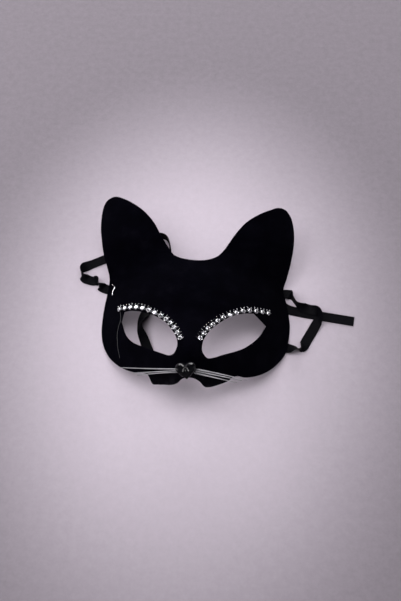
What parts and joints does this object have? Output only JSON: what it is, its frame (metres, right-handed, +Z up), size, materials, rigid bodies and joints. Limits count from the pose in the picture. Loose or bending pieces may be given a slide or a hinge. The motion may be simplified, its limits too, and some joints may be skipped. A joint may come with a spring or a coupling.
{
  "type": "cat eye mask",
  "caption": "Black velvet half mask with cat ears, eye holes edged by stone trims, a glossy heart nose, bristle whiskers and ribbon ties, lying face up.",
  "frame": {"origin": "middle of the mask's own bounding box in plan, on the surface it lies on", "axes": "+Z up and out of the face; +Y towards the ears; +X to the right as seen from above with the ears at the top"},
  "size_m": [0.2642, 0.1908, 0.0622],
  "materials": {
    "mask_shell": "short black velvet over a thin formed shell",
    "nose_heart": "polished black",
    "trims": "small clear stones in polished silver cups, joined by narrow links",
    "whiskers": "pale grey nylon bristle",
    "staples": "plain wire",
    "ribbons": "black satin"
  },
  "bodies": {
    "root": {"mask_shell": "mask_shell", "nose_heart": "nose_heart", "trim_left": "trims", "trim_right": "trims", "whisker_left_upper": "whiskers", "whisker_left_middle": "whiskers", "whisker_left_lower": "whiskers", "whisker_right_upper": "whiskers", "whisker_right_middle": "whiskers", "whisker_right_lower": "whiskers", "staple_left": "staples", "staple_right": "staples", "ribbon_left": "ribbons", "ribbon_right": "ribbons"}
  },
  "joints": []
}
